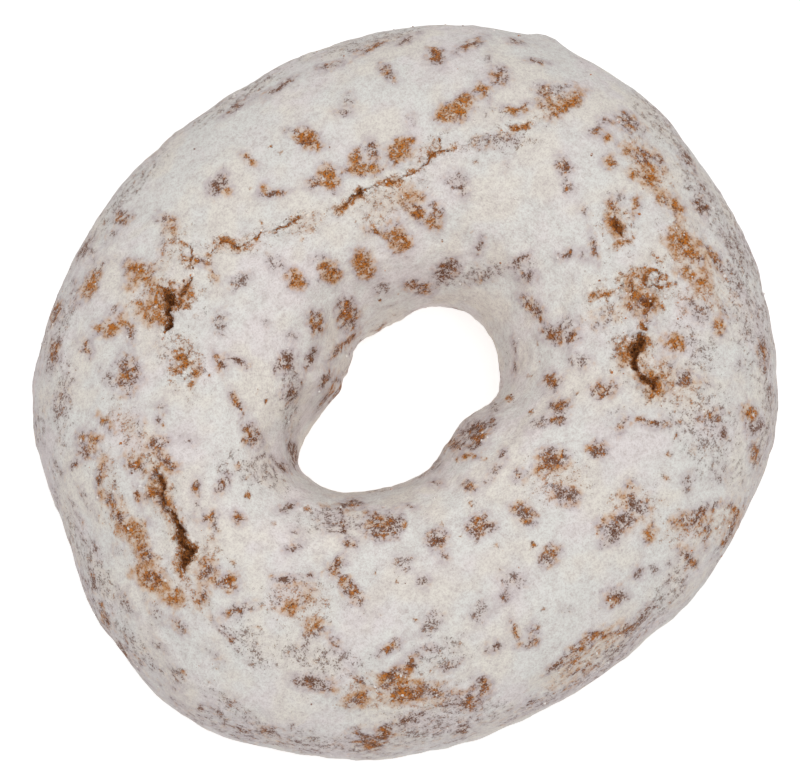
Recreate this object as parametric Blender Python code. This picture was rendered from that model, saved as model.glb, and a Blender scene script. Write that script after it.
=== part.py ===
# A powdered ring doughnut of cake dough, lying on its flat underside.
# +Z is up, +X runs along the longer way across the ring, and the origin is under the middle of the ring.
# Lengths are in millimetres and angles in degrees until the mesh is finished.
import math

import bmesh
import bpy
import numpy as np
from mathutils import Vector, noise

MM = 0.001

# Driving sizes of the ring
RIM_RADIUS = 42.2
HOLE_RADIUS = 10.4
CROWN_HEIGHT = 29.0
RIM_HEIGHT = 12.5
HOLE_NECK_HEIGHT = 11.0
FOOT_TRIM = 0.7

# The rim and the hole aren't round: (waves in one turn, height, angle of a crest)
RIM_WAVES = ((1, 0.24, -58.0), (2, 1.94, -3.5), (3, 0.24, 63.0), (4, 0.69, 28.0))
HOLE_WAVES = ((1, 1.40, 222.0), (2, 2.80, 1.4), (3, 0.48, 70.4), (4, 0.54, -8.8), (5, 0.41, 25.1))

# Where the rim or the hole's wall swells or is pressed in: (angle, spread of angle, height)
RIM_SWELLINGS = ((160.0, 9.0, -1.0), (193.0, 10.0, 0.75), (108.0, 20.0, -0.55), (252.0, 24.0, 0.5), (294.0, 7.0, -0.3))
HOLE_SWELLINGS = ((143.0, 15.0, -2.2), (158.0, 9.0, -0.9), (110.0, 14.0, -0.5), (307.0, 16.0, 1.0), (256.0, 9.0, -0.3))

# How the tube is rounded: 1 is an ellipse, less is squarer and more is steeper
RIM_ROUNDING = 0.94
FOOT_ROUNDING = 0.72
HOLE_ROUNDING = 1.05
HOLE_ROUNDING_SWING = 0.28
HOLE_LIP_ANGLE = 225.0

# The dough swells unevenly: (size of a swell, height)
SWELLS = ((11.0, 0.45), (5.5, 0.20))

# Cracks of the crown, seen from above: (route, half width, depth, height of the lifted lips)
CRACKS = (
    (
        ((-28.4, 11.9), (-27.6, 9.3), (-28.6, 7.6), (-29.2, 5.9), (-30.0, 3.8), (-31.3, 1.5), (-32.5, 0.7)),
        0.75, 2.2, 0.35,
    ),
    (
        ((-4.4, 23.7), (-2.9, 21.6), (1.3, 20.2), (5.6, 18.6), (10.3, 16.7), (14.8, 14.8), (18.8, 14.0), (29.4, 8.5)),
        0.45, 0.8, 0.30,
    ),
    (
        ((-15.4, 20.4), (-13.2, 22.6), (-9.7, 22.9), (-7.6, 25.3), (-4.4, 23.7)),
        0.55, 0.9, 0.25,
    ),
    (
        ((28.5, -3.7), (27.3, -6.6), (26.4, -10.6), (24.2, -14.4), (19.8, -16.7), (17.3, -18.8), (17.6, -21.0)),
        0.65, 1.3, 0.30,
    ),
)

# Torn holes along the cracks, and one small crater: (x, y, radius, depth)
PITS = (
    (-14.4, 21.6, 1.35, 2.9),
    (-31.2, 1.7, 1.05, 1.2),
    (19.0, -17.2, 1.20, 2.4),
    (25.7, -12.9, 1.25, 0.9),
    (27.4, -6.5, 0.70, 1.1),
    (10.5, 25.3, 1.25, 0.7),
)

# Lifted flakes of crust and clots of sugar on the crown: (x, y, radius, height)
LUMPS = (
    (-30.4, 12.2, 1.7, 0.75),
    (-31.9, 4.4, 1.9, 0.50),
    (-25.5, 15.5, 3.2, 0.35),
    (31.1, -2.7, 1.6, 0.50),
    (24.9, -13.6, 0.7, 0.45),
    (-10.6, 25.6, 2.4, 0.35),
    (7.5, 15.0, 2.6, 0.30),
)
# One clot hangs on the side at the back: (angle, height above the foot, radius, reach)
RIM_CLOT = (22.5, 16.5, 1.9, 0.75)

# Long shallow folds of the shoulder, seen from above: (route, half width, depth)
FOLDS = (
    (((36.3, -9.0), (35.1, -11.5), (33.0, -16.9), (29.9, -21.2)), 1.0, 0.35),
    (((-41.2, -10.9), (-41.2, -13.3), (-40.2, -17.1), (-38.2, -20.5)), 1.0, 0.30),
    (((-14.2, -35.2), (-10.5, -36.7), (-6.6, -38.1), (1.5, -39.7)), 1.1, 0.45),
)

# The relief fades out above the foot, which stays flat: from height, to height
RELIEF_FADE = (1.0, 5.0)

# Mesh: an even torus, cut finer beside the cracks and pits
TORUS_RADIUS = 2.0
RING_SEGMENTS = 96
TUBE_SEGMENTS = 36
FINE_CUTS = 3
FINE_MARGIN = 0.9

# The powdered crust
SUGAR_COLOUR = (0.66, 0.63, 0.58, 1.0)
SUGAR_ROUGHNESS = 0.92


def angle_away(theta, at):
    """Degrees from the angle at, in degrees, to theta, in radians."""
    turn = theta - math.radians(at)
    return np.degrees(np.arctan2(np.sin(turn), np.cos(turn)))


def waves(theta, terms):
    """Sum of cosine waves round the ring."""
    return sum(height * np.cos(count * (theta - math.radians(crest))) for count, height, crest in terms)


def bell(gap, radius):
    """1 at a gap of nothing, falling off smoothly."""
    return np.exp(-((gap / radius) ** 2))


def swellings(theta, terms):
    """Sum of bell-shaped swellings round the ring."""
    return sum(height * bell(angle_away(theta, at), spread) for at, spread, height in terms)


def rim_radius(theta):
    return RIM_RADIUS + waves(theta, RIM_WAVES) + swellings(theta, RIM_SWELLINGS)


def neck_radius(theta):
    """Radius of the hole where it is narrowest."""
    return HOLE_RADIUS + waves(theta, HOLE_WAVES) + swellings(theta, HOLE_SWELLINGS)


def ring_point(theta, phi):
    """Places on the smooth ring, at theta round the hole and phi round the tube, which is 0 at the rim and a quarter
    turn at the crown. Both are in radians."""
    rim, neck = rim_radius(theta), neck_radius(theta)
    across, up = np.cos(phi), np.sin(phi)
    # The wall of the hole is a long slope at the back and a short lip at the front.
    hole_power = HOLE_ROUNDING - HOLE_ROUNDING_SWING * np.cos(np.radians(angle_away(theta, HOLE_LIP_ANGLE)))
    inward = (1 - across) / 2
    crown_power = np.where(across >= 0, RIM_ROUNDING, hole_power)
    widest_at = RIM_HEIGHT + (HOLE_NECK_HEIGHT - RIM_HEIGHT) * inward
    above = up >= 0
    lift = np.abs(up) ** np.where(above, crown_power, FOOT_ROUNDING)
    height = np.where(above, widest_at + (CROWN_HEIGHT - widest_at) * lift, widest_at * (1 - lift))
    radius = (rim + neck) / 2 + (rim - neck) / 2 * across
    return np.stack([radius * np.cos(theta), radius * np.sin(theta), height], -1)


def ring_normal(theta, phi):
    """Outward normals of the smooth ring."""
    step = 0.01
    along = ring_point(theta + step, phi) - ring_point(theta - step, phi)
    round_tube = ring_point(theta, phi + step) - ring_point(theta, phi - step)
    normal = np.cross(along, round_tube)
    return normal / np.linalg.norm(normal, axis=-1, keepdims=True)


def gap_to_spot(place, x, y):
    """Distance, seen from above, from each place to a spot."""
    return np.hypot(place[:, 0] - x, place[:, 1] - y)


def gap_to_route(place, route):
    """Distance, seen from above, from each place to a route of straight runs."""
    nearest = np.full(len(place), np.inf)
    for start, end in zip(route, route[1:]):
        run = np.subtract(end, start)
        away = place[:, :2] - start
        share = np.clip(away @ run / (run @ run), 0, 1)
        nearest = np.minimum(nearest, np.linalg.norm(away - share[:, None] * run, axis=1))
    return nearest


def groove(gap, half_width):
    """1 at the bottom of a groove, rising to its edge, where it is 0."""
    return np.clip(1 - gap / half_width, 0, 1) ** 0.7


def near_torn_crust(place):
    """Whether each place is close to a crack or a pit."""
    near = np.zeros(len(place), bool)
    for route, half_width, _, _ in CRACKS:
        near |= gap_to_route(place, route) < half_width + FINE_MARGIN
    for x, y, radius, _ in PITS:
        near |= gap_to_spot(place, x, y) < radius + FINE_MARGIN
    return near


def swell_relief(place):
    """Smooth unevenness of the dough."""
    relief = np.zeros(len(place))
    for size, height in SWELLS:
        relief += height * np.array([noise.noise(Vector(point) / size) for point in place])
    return relief


def crust_relief(place, upward):
    """How far each place of the crust stands out of the smooth ring."""
    relief = swell_relief(place)
    crown = np.clip(upward * 4, 0, 1)
    for x, y, radius, height in LUMPS:
        relief += crown * height * bell(gap_to_spot(place, x, y), radius)
    for route, half_width, depth in FOLDS:
        relief -= crown * depth * bell(gap_to_route(place, route), half_width)
    for route, half_width, depth, lip in CRACKS:
        gap = gap_to_route(place, route)
        relief += crown * lip * bell(gap - 2 * half_width, 1.5 * half_width)
        relief -= crown * depth * groove(gap, half_width)
    for x, y, radius, depth in PITS:
        relief -= crown * depth * groove(gap_to_spot(place, x, y), radius)
    angle, height, radius, reach = RIM_CLOT
    turn = math.radians(angle)
    rim = float(rim_radius(np.array(turn)))
    clot = np.array([rim * math.cos(turn), rim * math.sin(turn), height])
    relief += reach * bell(np.linalg.norm(place - clot, axis=1), radius)
    start, end = RELIEF_FADE
    return relief * np.clip((place[:, 2] - start) / (end - start), 0, 1)


def clear_scene():
    for obj in list(bpy.data.objects):
        bpy.data.objects.remove(obj, do_unlink=True)


def torus_angles(mesh):
    """The angle round the hole and the angle round the tube of each vertex of the plain torus."""
    place = np.array([vert.co for vert in mesh.verts])
    theta = np.arctan2(place[:, 1], place[:, 0])
    phi = np.arctan2(place[:, 2], np.hypot(place[:, 0], place[:, 1]) - TORUS_RADIUS)
    return theta, phi


def refine_torn_crust(mesh):
    """Cuts the faces of the plain torus finer where the crust will be torn."""
    theta, phi = torus_angles(mesh)
    near = near_torn_crust(ring_point(theta, phi)) & (np.sin(phi) > 0)
    chosen = [face for face in mesh.faces if any(near[vert.index] for vert in face.verts)]
    edges = {edge for face in chosen for edge in face.edges}
    bmesh.ops.subdivide_edges(mesh, edges=list(edges), cuts=FINE_CUTS, use_grid_fill=True)
    bmesh.ops.triangulate(mesh, faces=mesh.faces)
    mesh.verts.index_update()


def shape_crust(mesh):
    """Moves each vertex of the plain torus to its place on the uneven crust, centred over the origin."""
    theta, phi = torus_angles(mesh)
    place, normal = ring_point(theta, phi), ring_normal(theta, phi)
    place += normal * crust_relief(place, normal[:, 2])[:, None]
    place[:, 2] = np.maximum(place[:, 2] - FOOT_TRIM, 0)
    place[:, :2] -= (place[:, :2].min(axis=0) + place[:, :2].max(axis=0)) / 2
    for vert, point in zip(mesh.verts, place * MM):
        vert.co = point


def powdered_crust():
    material = bpy.data.materials.new("powdered_crust")
    material.use_nodes = True
    shader = material.node_tree.nodes["Principled BSDF"]
    shader.inputs["Base Color"].default_value = SUGAR_COLOUR
    shader.inputs["Roughness"].default_value = SUGAR_ROUGHNESS
    shader.inputs["Metallic"].default_value = 0.0
    return material


def make_doughnut():
    bpy.ops.mesh.primitive_torus_add(
        major_segments=RING_SEGMENTS,
        minor_segments=TUBE_SEGMENTS,
        major_radius=TORUS_RADIUS,
        minor_radius=1.0,
    )
    doughnut = bpy.context.active_object
    doughnut.name = "doughnut"
    mesh = bmesh.new()
    mesh.from_mesh(doughnut.data)
    refine_torn_crust(mesh)
    shape_crust(mesh)
    mesh.to_mesh(doughnut.data)
    mesh.free()
    doughnut.data.shade_smooth()
    doughnut.data.materials.append(powdered_crust())
    return doughnut


def main():
    clear_scene()
    pastry = bpy.data.collections.new("powdered_doughnut")
    bpy.context.scene.collection.children.link(pastry)
    doughnut = make_doughnut()
    for collection in list(doughnut.users_collection):
        collection.objects.unlink(doughnut)
    pastry.objects.link(doughnut)


main()
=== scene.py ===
import math
import random

import bmesh
import bpy
import numpy as np
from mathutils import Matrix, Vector, noise
from mathutils.bvhtree import BVHTree


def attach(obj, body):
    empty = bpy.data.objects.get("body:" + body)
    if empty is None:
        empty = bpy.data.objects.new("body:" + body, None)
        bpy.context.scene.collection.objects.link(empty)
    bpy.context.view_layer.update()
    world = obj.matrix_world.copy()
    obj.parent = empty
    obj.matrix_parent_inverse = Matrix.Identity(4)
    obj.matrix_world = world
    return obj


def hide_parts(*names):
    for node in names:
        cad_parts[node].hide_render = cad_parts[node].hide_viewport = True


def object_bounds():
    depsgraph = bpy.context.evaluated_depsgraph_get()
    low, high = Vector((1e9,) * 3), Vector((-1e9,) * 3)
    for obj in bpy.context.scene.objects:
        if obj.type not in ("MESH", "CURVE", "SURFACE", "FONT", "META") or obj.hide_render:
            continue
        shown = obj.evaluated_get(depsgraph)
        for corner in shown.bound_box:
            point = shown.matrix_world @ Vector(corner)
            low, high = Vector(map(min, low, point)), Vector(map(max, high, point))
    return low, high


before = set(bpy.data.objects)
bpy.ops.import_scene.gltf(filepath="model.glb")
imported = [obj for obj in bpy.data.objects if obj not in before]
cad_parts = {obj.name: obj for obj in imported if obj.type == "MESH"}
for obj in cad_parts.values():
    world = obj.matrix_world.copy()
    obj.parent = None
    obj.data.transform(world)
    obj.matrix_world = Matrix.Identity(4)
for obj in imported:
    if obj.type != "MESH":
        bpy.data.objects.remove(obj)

# Lengths are in millimetres and angles in degrees unless a line says otherwise.
# +Z is up, and +X runs along the longer way across the ring. Pixels count from the photo's top left corner.
mm = 0.001
cadBox = [list(corner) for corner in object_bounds()]
boxSize = (np.array(cadBox[1]) - np.array(cadBox[0])) / mm

photoView = {
    "azimuth": -45.0,
    "elevation": 80.0,
    "distance": 260.0,
    "aimHeight": 13.0,          # height above the table where the scale below holds
    "mmPerPixel": 0.1148,
    "frameWidth": 800,
    "middlePixel": (400.0, 390.5),
    "ringPixel": (402.0, 384.5),  # where the middle of the ring shows
}

ring = {
    "rimRadius": 42.2,
    "holeRadius": 10.4,
    "crownHeight": 29.0,
    "rimHeight": 12.5,
    "neckHeight": 11.0,
    "footTrim": 0.7,
    # waves in one turn, height, angle of a crest
    "rimWaves": ((1, 0.24, -58.0), (2, 1.94, -3.5), (3, 0.24, 63.0), (4, 0.69, 28.0)),
    "holeWaves": ((1, 1.40, 222.0), (2, 2.80, 1.4), (3, 0.48, 70.4), (4, 0.54, -8.8), (5, 0.41, 25.1)),
    # angle, spread of angle, height
    "rimSwellings": (
        (160.0, 9.0, -1.0), (193.0, 10.0, 0.75), (108.0, 20.0, -0.55), (252.0, 24.0, 0.5), (294.0, 7.0, -0.3),
    ),
    "holeSwellings": (
        (143.0, 15.0, -2.2), (158.0, 9.0, -0.9), (110.0, 14.0, -0.5), (307.0, 16.0, 1.0), (256.0, 9.0, -0.3),
    ),
    "rimRounding": 0.94,
    "footRounding": 0.72,
    "holeRounding": 1.05,
    "holeRoundingSwing": 0.28,
    "holeLipAngle": 225.0,
    "swells": ((11.0, 0.45), (5.5, 0.20)),
    "reliefFade": (1.0, 5.0),
}

mesh = {
    "torusRadius": 2.0,
    "ringSegments": 440,
    "tubeSegments": 150,
    "crowding": 0.35,           # how much closer the rows are on the crown than under the foot
    "fineCuts": 3,
    "fineMargin": 0.35,
}


def angleAway(theta, at):
    turn = theta - math.radians(at)
    return np.degrees(np.arctan2(np.sin(turn), np.cos(turn)))


def waves(theta, terms):
    return sum(height * np.cos(count * (theta - math.radians(crest))) for count, height, crest in terms)


def bell(gap, radius):
    return np.exp(-((gap / radius) ** 2))


def swellings(theta, terms):
    return sum(height * bell(angleAway(theta, at), spread) for at, spread, height in terms)


def smoothStep(value, start, end):
    share = np.clip((value - start) / (end - start), 0, 1)
    return share * share * (3 - 2 * share)


def ringRadius(theta, edge):
    wavy = ring[edge + "Radius"] + waves(theta, ring[edge + "Waves"])
    return wavy + swellings(theta, ring[edge + "Swellings"])


def ringPoint(theta, phi):
    # theta goes round the hole and phi round the tube, from the rim to the crown and on to the hole
    rim, neck = ringRadius(theta, "rim"), ringRadius(theta, "hole")
    across, up = np.cos(phi), np.sin(phi)
    lipShare = np.cos(np.radians(angleAway(theta, ring["holeLipAngle"])))
    holePower = ring["holeRounding"] - ring["holeRoundingSwing"] * lipShare
    crownPower = np.where(across >= 0, ring["rimRounding"], holePower)
    widestAt = ring["rimHeight"] + (ring["neckHeight"] - ring["rimHeight"]) * (1 - across) / 2
    lift = np.abs(up) ** np.where(up >= 0, crownPower, ring["footRounding"])
    height = np.where(up >= 0, widestAt + (ring["crownHeight"] - widestAt) * lift, widestAt * (1 - lift))
    radius = (rim + neck) / 2 + (rim - neck) / 2 * across
    return np.stack([radius * np.cos(theta), radius * np.sin(theta), height], -1)


def ringNormal(theta, phi):
    step = 0.01
    along = ringPoint(theta + step, phi) - ringPoint(theta - step, phi)
    roundTube = ringPoint(theta, phi + step) - ringPoint(theta, phi - step)
    normal = np.cross(along, roundTube)
    return normal / np.linalg.norm(normal, axis=-1, keepdims=True)


def fieldOf(points, size, octaves=1, seed=0.0):
    # smooth random values round 0 over the points, with lumps of that size
    offset = Vector((seed, seed * 0.7, -seed * 1.3))
    roughness, finer = 0.6, 2.1
    places = (Vector(point) / size + offset for point in points)
    if octaves == 1:
        return np.array([noise.noise(place) for place in places])
    return np.array([noise.fractal(place, roughness, finer, octaves) for place in places])


def gapToSpot(place, x, y):
    return np.hypot(place[:, 0] - x, place[:, 1] - y)


def routeFacts(place, route):
    # gap to the route seen from above, and the route's other values where each place is nearest to it
    route = np.array(route, float)
    nearest = np.full(len(place), np.inf)
    facts = np.zeros((len(place), route.shape[1] - 2))
    for start, end in zip(route, route[1:]):
        run = end[:2] - start[:2]
        away = place[:, :2] - start[:2]
        share = np.clip(away @ run / (run @ run), 0, 1)
        gap = np.linalg.norm(away - share[:, None] * run, axis=1)
        closer = gap < nearest
        nearest = np.where(closer, gap, nearest)
        between = start[2:] + share[:, None] * (end[2:] - start[2:])
        facts = np.where(closer[:, None], between, facts)
    return nearest, facts


# Cracks of the crown as the photo shows them. A route's points are x, y and half width in pixels, and depth.
# The lip is how high the crust stands beside the crack, and flaking is how far from it the sugar crumbles.
cracks = {
    "left": {"lip": 0.40, "flaking": 1.3, "routes": (
        ((153, 466, 0.5, 0.3), (160, 478, 2.4, 1.4), (163, 487, 2.2, 1.4), (161, 497, 1.6, 1.2),
         (164, 502, 1.8, 1.2), (163, 507, 1.2, 1.0), (170, 510, 1.2, 1.0), (174, 516, 2.0, 1.2),
         (177, 525, 2.2, 1.6), (180, 532, 3.6, 2.0), (180, 541, 3.0, 2.0), (187, 550, 6.0, 2.4),
         (184, 558, 4.5, 2.2), (181, 566, 2.6, 1.6), (184, 573, 0.8, 0.5)),
        ((153, 490, 1.4, 0.5), (156, 492, 2.0, 0.9), (161, 496, 1.4, 0.9)),
    )},
    "back": {"lip": 0.15, "flaking": 0.9, "routes": (
        ((208, 252, 0.4, 0.2), (214, 244, 0.8, 0.4), (221, 237, 1.0, 0.5), (229, 240, 0.7, 0.4),
         (238, 245, 1.1, 0.5), (245, 241, 0.4, 0.3), (250, 237, 0.5, 0.2), (255, 235, 1.3, 0.5),
         (265, 228, 0.8, 0.3), (280, 224, 0.9, 0.4), (288, 221, 0.9, 0.4), (297, 215, 1.4, 0.5),
         (301, 214, 0.4, 0.2)),
        ((336, 207, 0.3, 0.2), (344, 203, 0.9, 0.4), (352, 196, 1.2, 0.6), (358, 192, 2.0, 1.0),
         (362, 190, 2.8, 1.3), (367, 187, 1.2, 0.6), (374, 184, 0.4, 0.3), (392, 180, 0.4, 0.3),
         (401, 176, 0.7, 0.4), (413, 169, 0.6, 0.4), (425, 162, 0.7, 0.5), (430, 154, 1.5, 0.8),
         (438, 148, 0.8, 0.5), (448, 149, 0.7, 0.4), (462, 143, 0.3, 0.3), (500, 132, 0.4, 0.3),
         (535, 120, 0.3, 0.2)),
        ((439, 135, 0.8, 0.3), (440, 140, 1.3, 0.5), (439, 145, 0.8, 0.3)),
    )},
    "corner": {"lip": 0.25, "flaking": 2.4, "routes": (
        ((160, 284, 0.8, 0.5), (163, 289, 2.2, 1.2), (168, 295, 5.0, 2.8), (169, 301, 3.8, 3.0),
         (165, 308, 1.8, 1.8), (168, 317, 2.6, 2.4), (168, 323, 3.2, 2.4), (163, 330, 1.2, 0.8)),
        ((177, 311, 0.6, 0.4), (177, 300, 1.1, 0.8), (182, 290, 2.4, 1.0), (188, 279, 1.2, 0.7),
         (193, 273, 0.7, 0.4)),
        ((192, 268, 0.5, 0.3), (190, 258, 1.2, 0.6), (191, 250, 0.9, 0.5), (189, 243, 0.9, 0.4)),
        ((185, 346, 0.4, 0.3), (187, 352, 0.8, 0.4), (185, 357, 0.6, 0.3)),
        ((181, 358, 0.6, 0.3), (180, 364, 0.9, 0.4), (184, 372, 0.5, 0.3), (189, 376, 0.5, 0.2)),
    )},
    "right": {"lip": 0.30, "flaking": 2.4, "routes": (
        ((616, 213, 0.5, 0.3), (618, 222, 3.2, 1.1), (622, 230, 1.9, 0.9), (624, 237, 0.4, 0.3)),
        ((643, 331, 1.0, 0.6), (640, 338, 4.6, 2.2), (639, 345, 5.6, 2.6), (635, 354, 3.2, 2.0),
         (636, 364, 2.6, 1.6), (640, 371, 1.0, 0.8), (644, 376, 2.8, 1.6), (650, 380, 1.5, 1.2),
         (655, 383, 2.8, 1.4), (656, 391, 1.2, 0.6)),
        ((629, 346, 0.8, 0.5), (633, 346, 2.0, 1.2)),
        ((655, 383, 2.0, 1.0), (659, 376, 1.8, 0.8)),
        ((645, 320, 0.8, 0.4), (646, 326, 1.9, 0.8)),
        ((647, 302, 1.2, 0.6), (653, 301, 2.6, 1.3), (656, 297, 1.2, 0.6)),
        ((602, 294, 0.3, 0.2), (616, 289, 0.6, 0.3), (625, 282, 1.1, 0.6)),
        ((633, 280, 0.8, 0.4), (632, 288, 1.2, 0.5), (634, 296, 0.7, 0.4)),
        ((646, 272, 0.8, 0.4), (644.5, 277, 1.5, 0.7), (647, 282, 1.0, 0.5), (651, 285, 0.9, 0.5),
         (655, 283, 0.6, 0.4), (660, 279, 0.7, 0.4), (662, 273, 0.9, 0.5), (660.5, 269, 1.6, 0.7),
         (655, 267.5, 0.8, 0.4), (650, 268, 0.9, 0.4), (646, 272, 0.8, 0.4)),
        ((657, 284, 1.2, 0.6), (660, 286, 2.6, 0.9), (666, 284, 0.7, 0.3)),
    )},
}

pits = ((10.5, 25.3, 1.25, 0.7),)                           # x, y, radius, depth
lumps = (                                                   # x, y, radius, height
    (-30.4, 12.2, 1.7, 0.75),
    (-31.9, 4.4, 1.9, 0.50),
    (-25.5, 15.5, 3.2, 0.35),
    (31.1, -2.7, 1.6, 0.50),
    (24.9, -13.6, 0.7, 0.45),
    (-10.6, 25.6, 2.4, 0.35),
    (7.5, 15.0, 2.6, 0.30),
)
rimClot = {"angle": 22.5, "height": 16.5, "radius": 1.9, "reach": 0.75}
folds = (                                                   # route, half width, depth
    (((36.3, -9.0), (35.1, -11.5), (33.0, -16.9), (29.9, -21.2)), 1.0, 0.35),
    (((-41.2, -10.9), (-41.2, -13.3), (-40.2, -17.1), (-38.2, -20.5)), 1.0, 0.30),
    (((-14.2, -35.2), (-10.5, -36.7), (-6.6, -38.1), (1.5, -39.7)), 1.1, 0.45),
)


def torusAngles(shape):
    place = np.array([vert.co for vert in shape.verts])
    theta = np.arctan2(place[:, 1], place[:, 0])
    even = np.arctan2(place[:, 2], np.hypot(place[:, 0], place[:, 1]) - mesh["torusRadius"])
    return theta, even - mesh["crowding"] * np.sin(even - math.pi / 2)


def refineTornCrust(shape, routes):
    theta, phi = torusAngles(shape)
    place = ringPoint(theta, phi)
    near = np.zeros(len(place), bool)
    for _, route in routes:
        gap, facts = routeFacts(place, route)
        near |= gap < facts[:, 0] + mesh["fineMargin"]
    near &= np.sin(phi) > 0
    faces = [face for face in shape.faces if any(near[vert.index] for vert in face.verts)]
    edges = {edge for face in faces for edge in face.edges}
    bmesh.ops.subdivide_edges(shape, edges=list(edges), cuts=mesh["fineCuts"], use_grid_fill=True)
    bmesh.ops.triangulate(shape, faces=shape.faces)
    shape.verts.index_update()


# Where the camera stands, in millimetres, for the ring before it is centred
def cameraFrame():
    azimuth, elevation = math.radians(photoView["azimuth"]), math.radians(photoView["elevation"])
    back = Vector((
        math.sin(azimuth) * math.cos(elevation),
        -math.cos(azimuth) * math.cos(elevation),
        math.sin(elevation),
    ))
    right = Vector((math.cos(azimuth), math.sin(azimuth), 0))
    return right, back.cross(right), back


def cameraPlace():
    right, up, back = cameraFrame()
    scale = photoView["mmPerPixel"]
    slideX = (photoView["middlePixel"][0] - photoView["ringPixel"][0]) * scale
    slideY = (photoView["ringPixel"][1] - photoView["middlePixel"][1]) * scale
    aim = Vector((0, 0, photoView["aimHeight"]))
    return aim + back * photoView["distance"] + right * slideX + up * slideY


def surfaceAt(tree, pixel):
    # where a pixel of the photo meets the crust
    right, up, back = cameraFrame()
    scale = photoView["mmPerPixel"]
    x = (pixel[0] - photoView["middlePixel"][0]) * scale
    y = (photoView["middlePixel"][1] - pixel[1]) * scale
    direction = (right * x + up * y - back * photoView["distance"]).normalized()
    return tree.ray_cast(cameraPlace(), direction)[0]


def planRoutes(tree):
    # the cracks' routes in millimetres, seen from above
    routes = []
    for crack in cracks.values():
        for route in crack["routes"]:
            points = []
            for x, y, halfWidth, depth in route:
                place = surfaceAt(tree, (x, y))
                points.append((place.x, place.y, halfWidth * photoView["mmPerPixel"], depth))
            routes.append((crack, points))
    return routes


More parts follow.
